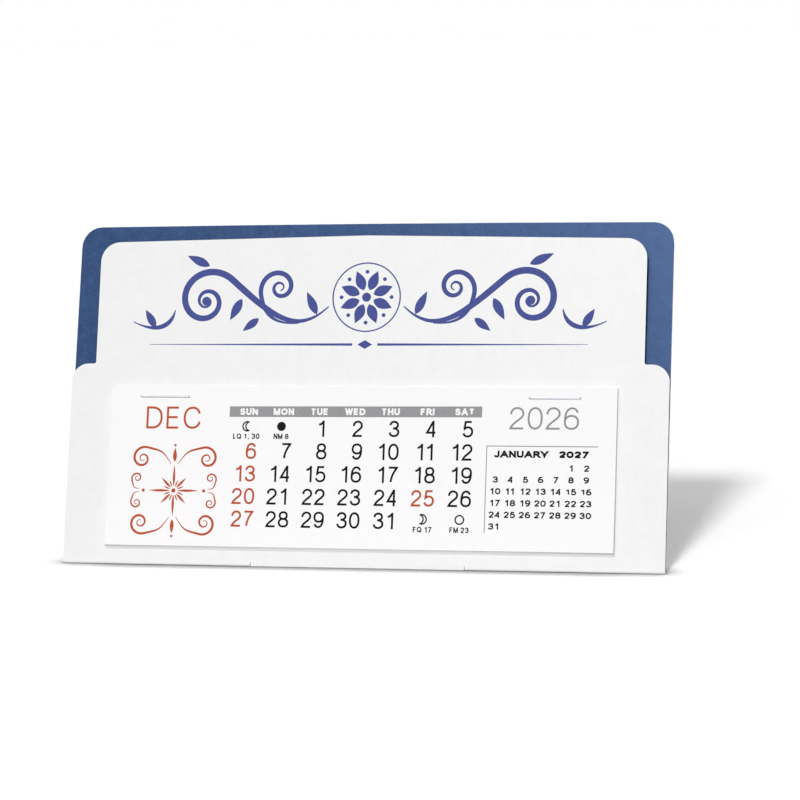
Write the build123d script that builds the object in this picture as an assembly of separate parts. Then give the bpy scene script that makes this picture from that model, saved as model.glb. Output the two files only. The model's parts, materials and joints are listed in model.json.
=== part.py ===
"""Desk calendar: a folded card stand with an easel leg, and a stapled pad of month leaves.

One sheet of two-ply cover board, white outside and blue inside, is folded up along its bottom edge.
The front panel has a raised header with round shoulders and carries the pad. The back panel is taller,
and its lower middle is cut free on three sides as a leg, which swings out behind on a crease.
X runs along the bottom edge to the viewer's right, Y points to the back and Z is up.
"""
import os
from math import acos, cos, degrees, radians, sin

from build123d import *

# Card, in millimetres and degrees
card_width = 152.4
back_height = 85.3
back_top_rise = 0.3
back_corner_radius = 5.2
header_inset = 6.2
header_end_height = 80.8
header_peak_height = 82.1
header_corner_radius = 5.0
shoulder_height = 49.7
shoulder_radius = 4.3
notch_radius = 0.6
white_ply = 0.38
blue_ply = 0.12
fold_inner_radius = 0.3
front_lean = 16.0
fold_opening = 1.0
crushed_share = 0.6

# Easel leg, cut out of the back panel
leg_width = 54.0
leg_crease_height = 58.0
leg_length = 57.2
leg_foot_radius = 3.0
die_kerf = 0.15
crease_gap = 0.05

# Pad of month leaves
leaf_count = 13
leaf_thickness = 0.1
pad_side_margin = 11.85
pad_offset = -0.55
pad_bottom = 3.7
pad_top = 43.8
bend_margin = 1.6

# Wire staples
staple_inset = 14.7
staple_shift = -0.6
staple_margin = 2.6
staple_crown = 12.9
staple_clinch = 4.4
wire_diameter = 0.44
wire_seat = 0.03
pierce_clearance = 0.04

# Sizes worked out from the ones above
board_thickness = white_ply + blue_ply
fold_outer_radius = fold_inner_radius + board_thickness
back_lean = front_lean + fold_opening
header_width = card_width - 2 * header_inset
pad_width = card_width - 2 * pad_side_margin
pad_thickness = leaf_count * leaf_thickness
staple_spacing = pad_width - 2 * staple_inset
staple_offset = pad_offset + staple_shift
staple_height = pad_top - staple_margin
bend_height = staple_height - bend_margin
window_width = leg_width + 2 * die_kerf
wire_radius = wire_diameter / 2

# The panels' own planes: x to the right, y up the panel and z towards the viewer, from the fold's axis
fold_axis = Vector(0, 0, fold_outer_radius)


def leaning_plane(origin, lean):
    """A panel's plane through origin, leaning back by lean degrees."""
    return Plane(origin, x_dir=(1, 0, 0), z_dir=(0, -cos(radians(lean)), sin(radians(lean))))


front_plane = leaning_plane(fold_axis, front_lean)
back_plane = leaning_plane(fold_axis, back_lean)
crease_axis = back_plane.from_local_coords(Vector(0, leg_crease_height, -fold_outer_radius))
leg_lean = degrees(acos(crease_axis.Z / leg_length))
leg_plane = leaning_plane(crease_axis, -leg_lean)
pad_front = fold_outer_radius + pad_thickness
bend_axis = front_plane.from_local_coords(Vector(0, bend_height, pad_front))

# Everything that meets the desk is trimmed level with it
trim_reach = 3 * fold_outer_radius
below_desk = Pos(0, 0, -card_width / 2) * Box(2 * card_width, 2 * card_width, card_width)


def layer(plane, outline, low, high):
    """A flat outline of a panel's plane, made solid from low to high in front of that plane."""
    return extrude(plane.offset(low) * outline, amount=high - low)


def rounded(outline, radius, *places):
    """The outline with its corners nearest to these places rounded."""
    corners = [outline.vertices().sort_by_distance(place)[0] for place in places]
    return fillet(corners, radius)


def front_outline():
    """White front panel: full width up to the shoulders, then the narrower header with its low gable."""
    side = card_width / 2
    neck = header_width / 2
    middle = leg_width / 2
    outline = make_face(
        Polyline(
            (-side, 0),
            (-side, shoulder_height),
            (-neck, shoulder_height),
            (-neck, header_end_height),
            (0, header_peak_height),
            (neck, header_end_height),
            (neck, shoulder_height),
            (side, shoulder_height),
            (side, 0),
            (middle, 0),
            (middle, -trim_reach),
            (-middle, -trim_reach),
            (-middle, 0),
            close=True,
        )
    )
    outline = rounded(outline, shoulder_radius, (-side, shoulder_height), (side, shoulder_height))
    outline = rounded(outline, notch_radius, (-neck, shoulder_height), (neck, shoulder_height))
    return rounded(outline, header_corner_radius, (-neck, header_end_height), (neck, header_end_height))


def back_outline():
    """Blue back panel: round top corners, a slightly arched top and the leg's window, open at the fold."""
    side = card_width / 2
    slot = window_width / 2
    top_edge = ThreePointArc((-side, back_height), (0, back_height + back_top_rise), (side, back_height))
    rest = Polyline(
        (side, back_height),
        (side, 0),
        (slot, 0),
        (slot, leg_crease_height),
        (-slot, leg_crease_height),
        (-slot, 0),
        (-side, 0),
        (-side, back_height),
    )
    outline = make_face([top_edge, rest])
    return rounded(outline, back_corner_radius, (-side, back_height), (side, back_height))


def leg_outline():
    """Easel leg, hanging from its crease, with a little left over to trim at the foot."""
    half = leg_width / 2
    long = leg_length + trim_reach
    return make_face(Polyline((-half, -crease_gap), (half, -crease_gap), (half, -long), (-half, -long), close=True))


def foot_rounding():
    """What is left of the leg once its two foot corners are rounded."""
    half = leg_width / 2
    outline = make_face(Polyline((-half, 0), (half, 0), (half, -leg_length), (-half, -leg_length), close=True))
    return rounded(outline, leg_foot_radius, (half, -leg_length), (-half, -leg_length))


def fold_strip(side):
    """Half ring of board that joins the two panels on one side of the leg: -1 left, 1 right."""
    section = Plane(fold_axis, x_dir=(0, 1, 0), z_dir=(1, 0, 0))
    start = 180 - front_lean
    turn = 180 - fold_opening
    ring = [CenterArc((0, 0), radius, start, turn) for radius in (fold_inner_radius, fold_outer_radius)]
    ends = [Line(ring[0] @ place, ring[1] @ place) for place in (0, 1)]
    face = section * make_face([*ring, *ends])
    length = (card_width - window_width) / 2
    near = window_width / 2 if side > 0 else -card_width / 2
    return Pos(near, 0, 0) * extrude(face, amount=length)


def pad_rectangle(low, high):
    """A stretch of a month leaf between two heights on the front panel."""
    return Pos(pad_offset, (low + high) / 2) * Rectangle(pad_width, high - low)


def leaf_span(number):
    """Where leaf number lies in front of the front panel's plane: leaf 1 is the front one."""
    front = pad_front - (number - 1) * leaf_thickness
    return front - leaf_thickness, front


def staple_centres():
    """The two staples' middles along the pad."""
    return staple_offset - staple_spacing / 2, staple_offset + staple_spacing / 2


def pierced_holes(low, high):
    """Square holes that the staples' legs pierce, from low to high in front of the front panel's plane."""
    reach = staple_crown / 2 - wire_radius
    places = [(centre + way * reach, staple_height) for centre in staple_centres() for way in (-1, 1)]
    side = wire_diameter + 2 * pierce_clearance
    holes = Sketch() + [Pos(*place) * Rectangle(side, side) for place in places]
    return layer(front_plane, holes, low, high)


def staple(centre):
    """Round wire: a straight crown on the pad, two legs through it and their clinched ends behind."""
    leg = staple_crown / 2 - wire_radius
    tip = leg - staple_clinch
    bend = wire_radius + wire_seat
    crown_depth = pad_front + bend
    clinch_depth = fold_inner_radius - bend
    route = [(-tip, clinch_depth), (-leg, clinch_depth), (-leg, crown_depth)]
    route += [(-across, depth) for across, depth in reversed(route)]
    points = [front_plane.from_local_coords(Vector(centre + x, staple_height, depth)) for x, depth in route]
    path = FilletPolyline(*points, radius=bend)
    return sweep(Plane(path @ 0, z_dir=path % 0) * Circle(wire_radius), path=path)


# Front panel: two plies, pierced by the staples and trimmed on the desk between the folds
front_blue = fold_inner_radius + blue_ply
parts = {}
for name, low, high in (("front_facing", fold_inner_radius, front_blue), ("front_board", front_blue, fold_outer_radius)):
    parts[name] = layer(front_plane, front_outline(), low, high) - pierced_holes(low, high) - below_desk

# The cutting die crushes the white ply's outer corner round along that trimmed edge
cut_edge = parts["front_board"].edges().filter_by(Axis.X).group_by(Axis.Z)[0].sort_by(Axis.Y)[0]
parts["front_board"] = fillet(cut_edge, crushed_share * white_ply)

# Back panel: two plies with the leg's window
back_blue = -fold_inner_radius - blue_ply
parts["back_facing"] = layer(back_plane, back_outline(), back_blue, -fold_inner_radius)
parts["back_board"] = layer(back_plane, back_outline(), -fold_outer_radius, back_blue)

# Easel leg: two plies, swung out behind and trimmed on the desk
for name, low, high in (("leg_board", 0, white_ply), ("leg_facing", white_ply, board_thickness)):
    blank = layer(leg_plane, leg_outline(), low, high) - below_desk
    parts[name] = blank & layer(leg_plane, foot_rounding(), low, high)

# Bottom fold, on both sides of the leg
parts["fold_left"] = fold_strip(-1)
parts["fold_right"] = fold_strip(1)

# Pad: the bound strips above the bend line, and the leaves that turn up below it
strips = []
for number in range(1, leaf_count + 1):
    low, high = leaf_span(number)
    strips.append(layer(front_plane, pad_rectangle(bend_height, pad_top), low, high) - pierced_holes(low, high))
    parts[f"leaf_{number:02d}"] = layer(front_plane, pad_rectangle(pad_bottom, bend_height), low, high)
parts["pad_stubs"] = Compound(children=[strip.solid() for strip in strips])

# Staples
for name, centre in zip(("staple_left", "staple_right"), staple_centres()):
    parts[name] = staple(centre)

# The origin is under the middle of the whole object, on the desk
bounds = Compound(children=[Compound(part.solids()) for part in parts.values()]).bounding_box()
to_origin = Vector(-bounds.center().X, -bounds.center().Y, -bounds.min.Z)

os.makedirs("parts", exist_ok=True)
for name, part in parts.items():
    export_step(Pos(to_origin) * Compound(part.solids()), f"parts/{name}.step")

print("leg leans", round(leg_lean, 3), "and closes by", round(leg_lean + back_lean, 3))
for name, place in (("fold axis", fold_axis), ("crease axis", crease_axis), ("bend axis", bend_axis)):
    moved = place + to_origin
    print(name, [round(value, 4) for value in moved])
print("size", [round(value, 4) for value in bounds.size], "moved by", [round(value, 4) for value in to_origin])
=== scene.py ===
"""Looks of the folded card desk calendar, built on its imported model.

Places on a panel are millimetres: x to the right, s up the panel from its own axis and n out of it,
towards the viewer. Everything that Blender gets is in metres.
"""
import calendar
import json
import math

import bmesh
import bpy
from mathutils import Matrix, Vector
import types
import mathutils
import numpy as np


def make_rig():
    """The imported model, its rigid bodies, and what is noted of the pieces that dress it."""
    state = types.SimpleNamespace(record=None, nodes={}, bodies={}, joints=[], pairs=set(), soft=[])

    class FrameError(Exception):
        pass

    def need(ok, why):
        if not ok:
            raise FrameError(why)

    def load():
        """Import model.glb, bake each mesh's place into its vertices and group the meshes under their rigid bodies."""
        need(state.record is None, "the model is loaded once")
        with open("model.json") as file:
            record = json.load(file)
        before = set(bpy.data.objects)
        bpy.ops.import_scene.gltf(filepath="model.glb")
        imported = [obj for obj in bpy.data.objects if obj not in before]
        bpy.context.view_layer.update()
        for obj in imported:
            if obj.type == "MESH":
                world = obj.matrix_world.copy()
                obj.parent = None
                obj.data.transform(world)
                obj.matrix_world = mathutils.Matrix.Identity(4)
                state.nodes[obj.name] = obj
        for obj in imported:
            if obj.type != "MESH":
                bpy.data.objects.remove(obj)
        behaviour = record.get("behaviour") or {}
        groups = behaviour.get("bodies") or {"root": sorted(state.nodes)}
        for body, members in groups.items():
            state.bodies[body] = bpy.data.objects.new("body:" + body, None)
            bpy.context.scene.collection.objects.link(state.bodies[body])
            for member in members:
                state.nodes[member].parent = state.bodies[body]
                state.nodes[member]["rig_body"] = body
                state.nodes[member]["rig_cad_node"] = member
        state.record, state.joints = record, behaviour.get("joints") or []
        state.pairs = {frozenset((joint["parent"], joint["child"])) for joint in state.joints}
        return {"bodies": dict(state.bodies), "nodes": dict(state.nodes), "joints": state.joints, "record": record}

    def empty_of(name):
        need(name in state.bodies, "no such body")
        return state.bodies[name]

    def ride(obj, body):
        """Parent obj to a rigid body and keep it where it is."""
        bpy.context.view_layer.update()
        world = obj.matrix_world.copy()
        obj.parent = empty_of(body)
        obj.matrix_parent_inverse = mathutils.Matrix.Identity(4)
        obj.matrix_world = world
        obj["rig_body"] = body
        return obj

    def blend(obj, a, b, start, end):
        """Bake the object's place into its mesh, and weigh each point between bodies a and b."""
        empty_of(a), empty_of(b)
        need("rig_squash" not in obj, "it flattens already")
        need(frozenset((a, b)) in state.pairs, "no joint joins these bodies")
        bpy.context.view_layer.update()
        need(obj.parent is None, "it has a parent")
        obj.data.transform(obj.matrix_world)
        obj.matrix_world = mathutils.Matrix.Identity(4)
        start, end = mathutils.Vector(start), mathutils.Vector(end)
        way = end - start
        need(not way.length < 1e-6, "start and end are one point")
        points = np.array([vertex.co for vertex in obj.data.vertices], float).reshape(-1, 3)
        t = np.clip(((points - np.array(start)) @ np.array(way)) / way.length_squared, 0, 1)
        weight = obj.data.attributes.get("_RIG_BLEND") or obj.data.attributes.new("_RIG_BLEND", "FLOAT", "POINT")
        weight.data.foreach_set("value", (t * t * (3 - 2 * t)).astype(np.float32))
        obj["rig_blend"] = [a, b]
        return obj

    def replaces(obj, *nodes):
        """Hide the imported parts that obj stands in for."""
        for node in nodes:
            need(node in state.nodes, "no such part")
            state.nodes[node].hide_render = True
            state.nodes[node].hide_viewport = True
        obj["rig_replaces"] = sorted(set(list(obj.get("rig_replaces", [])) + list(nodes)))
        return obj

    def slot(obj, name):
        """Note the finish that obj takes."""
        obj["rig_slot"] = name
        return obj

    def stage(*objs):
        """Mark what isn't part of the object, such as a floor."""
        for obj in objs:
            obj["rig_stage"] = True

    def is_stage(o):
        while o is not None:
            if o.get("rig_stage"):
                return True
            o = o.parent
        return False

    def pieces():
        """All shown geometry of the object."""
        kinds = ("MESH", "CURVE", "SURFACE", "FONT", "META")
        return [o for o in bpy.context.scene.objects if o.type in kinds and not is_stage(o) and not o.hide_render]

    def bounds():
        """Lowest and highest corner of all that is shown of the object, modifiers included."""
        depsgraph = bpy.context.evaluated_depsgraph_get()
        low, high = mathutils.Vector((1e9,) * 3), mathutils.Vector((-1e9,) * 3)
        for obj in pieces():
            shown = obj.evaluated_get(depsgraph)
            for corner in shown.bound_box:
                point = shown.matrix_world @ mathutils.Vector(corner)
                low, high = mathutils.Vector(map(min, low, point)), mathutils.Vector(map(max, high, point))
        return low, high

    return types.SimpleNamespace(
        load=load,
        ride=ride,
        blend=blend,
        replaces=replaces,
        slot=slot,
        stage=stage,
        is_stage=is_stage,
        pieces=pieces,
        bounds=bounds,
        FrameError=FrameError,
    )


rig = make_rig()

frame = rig.load()
scene = bpy.context.scene
cad_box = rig.bounds()
nodes = frame["nodes"]
joint_at = {joint["name"]: Vector(joint["pos_m"]) for joint in frame["joints"]}

# Card and pad, as in the part's source
MM = 0.001
FRONT_LEAN = 16.0
BACK_LEAN = 17.0
LEG_LEAN = -11.6
CARD_HALF = 76.2
WINDOW_HALF = 27.15
LEG_HALF = 27.0
CREASE_HEIGHT = 58.0
FOLD_INNER = 0.3
FOLD_PLY = 0.42
FOLD_OUTER = 0.8
CREASE_ROUND = 0.42
PAD_MIDDLE = -0.55
PAD_HALF = 64.35
PAD_BOTTOM = 3.7
BEND_HEIGHT = 39.6
PAD_FRONT = 2.1
LEAF_PITCH = 0.1
LEAF_COUNT = 13

# Sheets: rear leaves hang lower and stand a little askew, and the front one's corners curl
LEAF_THICKNESS = 0.085
LEAF_CREEP = 0.8
CREEP_POWER = 1.4
LEAF_DRIFT = 0.09
LEAF_TRIM = 0.03
LEAF_BODIES = ("front_panel", "later_leaves", "second_leaf", "top_leaf")
BEND_ZONE = 7.0
BEND_ROWS = 18
FLAT_ROWS = 12
HALF_COLUMNS = 12
CORNER_CURL = 0.22
CURL_START = 22.0
CURL_REACH = 18.0
CURL_POWER = 3
LEFT_CURL = 0.6
DRIFT_PHASE = 2.4
TRIM_PHASE = 1.7

# Bound strips: how squarely a cut face points, and its least area in square metres
CUT_SQUARENESS = 0.9
CUT_AREA = 1e-7

# Folds: steps round and along a bottom fold, and the skin over the leg's crease
FOLD_STEPS = 48
FOLD_COLUMNS = 6
SKIN_REACH = 0.9
SKIN_DEPTH = 0.06
SKIN_STEPS = 12
SKIN_EDGE = 0.004
SKIN_CROWN = 0.012
SKIN_OUT = (0, 1, 0.05)

# Inks: how deep they lie and how high they stand, alone and over other print
INK_SINK = 0.004
INK_RISE = 0.006
STROKE_STEP = 0.0012
OVER_BAR = 0.005
OVER_STAR = 0.001
OVER_SCROLL = 0.002
OVER_ALL = 0.004

# Lines: how far apart their points are, the fewest on a curve or an oval, and limits for joining them
LINE_STEP = 0.42
BOWL_STEP = LINE_STEP * 0.8
ROUND_STEP = 0.2
CRESCENT_STEP = 0.15
SPIRAL_STEP = 0.3
SCROLL_STEP = 0.35
RING_STEP = 0.4
RULE_STEP = 2.0
FEWEST_ON_CURVE = 5
FEWEST_ON_OVAL = 14
SAME_POINT = 1e-5
TINY = 1e-6
MITRE_LIMIT = 1.7

# Characters: when the bold forms are used, spaces as shares of the height, and how square a bowl is
BOLD_WEIGHT = 0.15
WORD_SPACE = 0.34
AFTER_ONE = 0.1
BETWEEN_ONES = 0.18
BOWL_POWER = 2.25

# Month pages: names, the dates' right ends, and the middles of the names of days
DAY_NAMES = ("SUN", "MON", "TUE", "WED", "THU", "FRI", "SAT")
MONTHS = {1: "JANUARY", 2: "FEBRUARY", 3: "MARCH", 12: "DECEMBER"}
DATE_RIGHTS = (-26.43, -17.42, -8.34, 0.71, 9.97, 19.29, 28.51)
DAY_MIDDLES = (-28.71, -19.71, -10.54, -1.41, 7.56, 16.88, 26.24)
DAY_NAMES_LINE = 36.62
MONTH_NAME_AT = (-55.42, 33.05)
YEAR_AT = (37.42, 33.5)

# The following month in small: its heading, wider for a long name, then its first date and pitches
MINI_HEADING_AT = (33.84, 26.58)
HEADING_WIDTH = 23.4
LONG_HEADING_WIDTH = 24.0
SHORT_NAME = 7
MINI_YEAR_ROOM = 8.7
NAME_STRETCH = 1.85
NAME_SQUEEZE = 0.05
MINI_LEFT, MINI_PITCH = 34.36, 3.733
MINI_TOP, MINI_DROP = 23.3, 2.87

# The month's grid is printed a little out of square, between two edges and about a level line
PRINT_SKEW = 0.0045
SKEW_LEFT, SKEW_RIGHT = -34.0, 31.0
SKEW_LEVEL, SKEW_HEIGHT = 14.0, 24.0

# Moons: where they stand in their cells, then their sizes and the crescents' two arcs
MOON_SHIFT = 2.75
MOON_RISE = 2.55
MOON_NOTE_DROP = 0.62
MOON_RADIUS = 1.15
FULL_MOON_RADIUS = 1.05
FULL_MOON_LINE = 0.37
CRESCENT_LINE = 0.36
CRESCENT_SHIFT = 0.2
HOLLOW_RADIUS = 1.135
HOLLOW_SHIFT = 0.75
OUTER_ARC = {"start": 110, "turn": -220}
HOLLOW_ARC = {"start": -72, "turn": 144}

# Ruled lines for notes
NOTE_LEFT, NOTE_RIGHT = -58.6, -37.4
NOTE_BOTTOM, NOTE_PITCH = 10.0, 5.2
NOTE_LINE = 0.16
NOTE_COUNT = 4

# Bars and rules: left, right, bottom and top
WEEKDAY_BAR = (-33.73, 30.55, 36.12, 38.78)
UPRIGHT_RULE = (31.9, 32.12, 8.1, 29.5)
LEVEL_RULE = (32.12, 59.39, 29.27, 29.5)

# Rows of dates: their top, then pitch and figure height for months of up to five weeks, and of six
DATES_TOP = 35.27
FIVE_WEEKS = (5.635, 4.05)
SIX_WEEKS = (4.6, 3.5)

# Lettering: height, then stroke weight, gap and stretch as shares of it
WEEKDAYS = {"height": 1.68, "weight": 0.27, "gap": 0.12, "extend": 1.42}
MONTH_NAME = {"height": 5.6, "weight": 0.1, "gap": 0.19, "extend": 1.17}
YEAR = {"height": 5.5, "weight": 0.088, "gap": 0.14, "extend": 1.15}
DATES = {"weight": 0.13, "gap": 0.12, "extend": 1.1}
MOON_NOTES = {"height": 1.36, "weight": 0.2, "gap": 0.1, "extend": 1.15}
MINI_MONTH = {"height": 1.68, "weight": 0.3, "gap": 0.11}
MINI_YEAR = {"height": 1.68, "weight": 0.31, "gap": 0.06, "extend": 1.95}
MINI_DATES = {"height": 1.56, "weight": 0.225, "gap": 0.11, "extend": 1.5}

# Pages: leaf, year, month, red dates and moons
DECEMBER = (1, 2026, 12, (25,), (("LQ", "1, 30"), ("NM", "8"), ("FQ", "17"), ("FM", "23")))
JANUARY = (2, 2027, 1, (1,), (("NM", "7"), ("FQ", "15"), ("FM", "22"), ("LQ", "29")))
FEBRUARY = (3, 2027, 2, (), (("NM", "6"), ("FQ", "14"), ("FM", "20"), ("LQ", "28")))

# Scrolls: start, lead, then the spiral's centre, radius, first angle, turns, end radius and handle
MAIN_SCROLL = ((9.6, 64.2), (18, 56.2), (41.5, 65.6), 8.6, 142, -2.1, 0.9, 13)
BRANCH_SCROLL = ((17.2, 60.0), (23.5, 59.6), (22.4, 69.0), 5.3, -25, 1.8, 0.7, 5)
TAIL_CURVE = ((49.6, 63.4), (50.5, 58.6), (55.0, 57.6), (60.5, 60.4))
CORNER_SCROLL = ((0.9, -6.6), (3.2, -10.2), (8.4, -8.0), 3.1, -118, 1.7, 0.5, 3.4)
TENDRIL_SCROLL = ((8.9, -0.5), (10.6, -0.2), (9.6, -3.1), 1.55, 35, -1.45, 0.35, 0.9)

# Pen strokes: thin, thick and where along the line they are thickest
MAIN_PEN = (0.3, 1.7, 0.35)
BRANCH_PEN = (0.3, 1.25, 0.4)
TAIL_PEN = (0.25, 1.2, 0.4)
CORNER_PEN = (0.16, 0.62, 0.4)
TENDRIL_PEN = (0.14, 0.42, 0.4)
PEN_POWER = 1.5

# Leaves on the header's scrolls: base, angle, length and width
SCROLL_LEAVES = (
    ((32.2, 66.2), -62, 6.2, 2.3), ((27.6, 61.2), -38, 5.2, 2.0), ((12.6, 62.2), 64, 6.4, 2.2),
    ((41.0, 74.6), 24, 6.6, 2.2), ((54.6, 58.9), 58, 5.4, 2.0),
)
PETAL_STEPS = 12
PETAL_POWER = 0.8

# Header: its rosette, the discs in its scrolls, and the rule with a lozenge
ROSETTE_AT = (0, 66.5)
ROSETTE_PETALS = 8
ROSETTE_PETAL = (5.2, 2.6)
PETAL_START = 1.9
ROSETTE_CORE = 1.15
DOT_REACH, DOT_RADIUS = 6.4, 0.5
RING_RADIUS, RING_LINE = 8.6, 0.35
SCROLL_DISC = 1.15
RULE_HEIGHT = 54.6
RULE_START, RULE_END = 3.2, 56
RULE_THICK, RULE_TAPER = 0.62, 0.5
LOZENGE_WIDE, LOZENGE_HIGH = 1.9, 1.1

# Star in scrolls: its rays' lengths and widths in turn, and the drops and dots round it
STAR_AT = (-47.5, 17.5)
STAR_RAYS = 16
RAY_START = 1.0
RAY_LENGTHS = (5.6, 1.9, 3.6, 1.9)
RAY_WIDTHS = (0.62, 0.36)
STAR_CORE = 0.55
DROP_REACH, DROP_PETAL = 7.2, (3.6, 1.0)
END_DOT_REACH, END_DOT_RADIUS = 11.4, 0.32
SIDE_DOT_REACH, SIDE_DOT_RADIUS = 7.9, 0.42

# Floor: half its side, its drop and its painted contact shadow's reach in metres, then shadow and brightness
FLOOR_HALF = 8.0
FLOOR_DROP = 0.00002
CONTACT_REACH = 0.008
CONTACT_POWER = 2.3
CONTACT_SAMPLES = 8
FLOOR_SHOWN = 1.625
FLOOR_BOUNCE = 0.6

# Lamps: name, strength, the way the light goes and how wide it is, in degrees
SUNS = (
    ("key", 1.45, (0.06, 1.39, -1.0), 7.5),
    ("low", 1.05, (0.1, 1.9, -1.0), 70.0),
    ("overhead", 0.34, (0.0, 0.22, -1.0), 60.0),
    ("rear", 0.95, (-0.35, -1.0, -0.03), 3.0),
)
LAMP_DISTANCE = 2
AMBIENT = 0.095

# Camera: sensor and lens in millimetres, its place in metres and the ways it is turned
SENSOR_WIDTH = 36.0
LENS = 128.8
EYE = Vector((0.173543, -0.68272, 0.139262))
RIGHT = Vector((0.97259, 0.23078, -0.02856)).normalized()
FORWARD = Vector((-0.23249, 0.96241, -0.14039)).normalized()


# Places and meshes


def leaning(axis, lean):
    """A panel's place function: from x, s and n in millimetres to a point of the scene."""
    across = Vector((1, 0, 0))
    up = Vector((0, math.sin(math.radians(lean)), math.cos(math.radians(lean))))
    out = Vector((0, -math.cos(math.radians(lean)), math.sin(math.radians(lean))))
    return lambda x, s, n: axis + MM * (x * across + s * up + n * out)


on_front = leaning(joint_at["bottom_fold"], FRONT_LEAN)
on_back = leaning(joint_at["bottom_fold"], BACK_LEAN)
on_leg = leaning(joint_at["leg_crease"], LEG_LEAN)


def smooth_step(t):
    """0 before 0, 1 after 1 and a soft rise between them."""
    t = min(1.0, max(0.0, t))
    return t * t * (3 - 2 * t)


def curl(x, s):
    """How far the front leaf's lower corners stand off the pad."""
    side = (x - PAD_MIDDLE) / PAD_HALF
    share = 1.0 if side > 0 else LEFT_CURL
    return CORNER_CURL * share * abs(side) ** CURL_POWER * smooth_step((CURL_START - s) / CURL_REACH)


def on_top_leaf(x, s, n):
    """A point over the front leaf, which curls a little."""
    return on_front(x, s, n + curl(x, s))


def new_object(name, verts, faces, materials, face_materials=None):
    """A mesh object with its normals turned outwards."""
    mesh = bpy.data.meshes.new(name)
    mesh.from_pydata([tuple(v) for v in verts], [], faces)
    for mat in materials:
        mesh.materials.append(mat)
    if face_materials:
        mesh.polygons.foreach_set("material_index", face_materials)
    shape = bmesh.new()
    shape.from_mesh(mesh)
    bmesh.ops.recalc_face_normals(shape, faces=shape.faces)
    shape.to_mesh(mesh)
    shape.free()
    obj = bpy.data.objects.new(name, mesh)
    scene.collection.objects.link(obj)
    return obj


def slab(front, back):
    """Vertices and faces of a closed sheet between two grids of points."""
    rows, columns = len(front), len(front[0])
    verts = [point for grid in (front, back) for row in grid for point in row]

    def at(side, row, column):
        return side * rows * columns + row * columns + column

    faces = []
    for row in range(rows - 1):
        for column in range(columns - 1):
            for side in (0, 1):
                square = [(row, column), (row, column + 1), (row + 1, column + 1), (row + 1, column)]
                faces.append([at(side, *corner) for corner in square])
    rim = [(0, column) for column in range(columns)]
    rim += [(row, columns - 1) for row in range(1, rows)]
    rim += [(rows - 1, column) for column in range(columns - 2, -1, -1)]
    rim += [(row, 0) for row in range(rows - 2, 0, -1)]
    for one, two in zip(rim, rim[1:] + rim[:1]):
        faces.append([at(0, *one), at(0, *two), at(1, *two), at(1, *one)])
    return verts, faces


# Materials


def srgb(red, green, blue):
    """A colour of 0 to 255 as the linear values that shaders take."""
    linear = []
    for value in (red, green, blue):
        share = value / 255
        linear.append(share / 12.92 if share <= 0.04045 else ((share + 0.055) / 1.055) ** 2.4)
    return (*linear, 1.0)


class Shader:
    """A principled material with helpers for its nodes."""

    def __init__(self, name, gloss=0.5):
        self.material = bpy.data.materials.new(name)
        self.material.use_nodes = True
        self.tree = self.material.node_tree
        self.tree.nodes.clear()
        output = self.tree.nodes.new("ShaderNodeOutputMaterial")
        self.surface = self.node("ShaderNodeBsdfPrincipled", Specular_IOR_Level=gloss)
        self.tree.links.new(self.surface.outputs[0], output.inputs["Surface"])
        self.coordinates = self.tree.nodes.new("ShaderNodeTexCoord").outputs["Object"]

    def node(self, kind, settings=None, **inputs):
        made = self.tree.nodes.new(kind)
        for key, value in (settings or {}).items():
            setattr(made, key, value)
        for key, value in inputs.items():
            self.feed(made, key.replace("_", " "), value)
        return made

    def feed(self, made, key, value):
        socket = made.inputs[int(key)] if key.isdigit() else made.inputs[key]
        if isinstance(value, bpy.types.NodeSocket):
            self.tree.links.new(value, socket)
        else:
            socket.default_value = value

    def noise(self, size, detail=3.0, roughness=0.55, stretch=None):
        """Soft noise with features of about size millimetres, longer where stretch is below 1."""
        place = self.coordinates
        if stretch:
            place = self.node("ShaderNodeMapping", Vector=place, Scale=stretch).outputs[0]
        made = self.node(
            "ShaderNodeTexNoise", Vector=place, Scale=1000 / size, Detail=detail, Roughness=roughness
        )
        return made.outputs["Fac"]

    def ramp(self, value, low, high, from_low=0.3, from_high=0.7):
        """A value mapped from its usual range to another one."""
        made = self.node("ShaderNodeMapRange", {"clamp": True}, Value=value)
        spans = (("From Min", from_low), ("From Max", from_high), ("To Min", low), ("To Max", high))
        for key, number in spans:
            made.inputs[key].default_value = number
        return made.outputs[0]

    def mix(self, share, one, two):
        """Two colours mixed."""
        made = self.node("ShaderNodeMix", {"data_type": "RGBA"})
        for key, value in (("0", share), ("6", one), ("7", two)):
            self.feed(made, key, value)
        return made.outputs[2]

    def maths(self, operation, one, two):
        made = self.node("ShaderNodeMath", {"operation": operation})
        self.feed(made, "0", one)
        self.feed(made, "1", two)
        return made.outputs[0]

    def edges(self, radius):
        """1 near a cut edge and 0 on the flat, within radius millimetres."""
        rounded = self.node("ShaderNodeBevel", {"samples": 4}, Radius=radius * MM).outputs[0]
        flat = self.node("ShaderNodeNewGeometry").outputs["Normal"]
        along = self.node("ShaderNodeVectorMath", {"operation": "DOT_PRODUCT"})
        self.feed(along, "0", rounded)
        self.feed(along, "1", flat)
        return self.ramp(along.outputs["Value"], 1.0, 0.0, from_low=0.75, from_high=0.99)

    def bump(self, height, micrometres, strength):
        made = self.node("ShaderNodeBump", Height=height, Distance=micrometres * 1e-6, Strength=strength)
        self.feed(self.surface, "Normal", made.outputs[0])

    def colour(self, value):
        self.feed(self.surface, "Base Color", value)

    def roughness(self, value):
        self.feed(self.surface, "Roughness", value)


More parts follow.
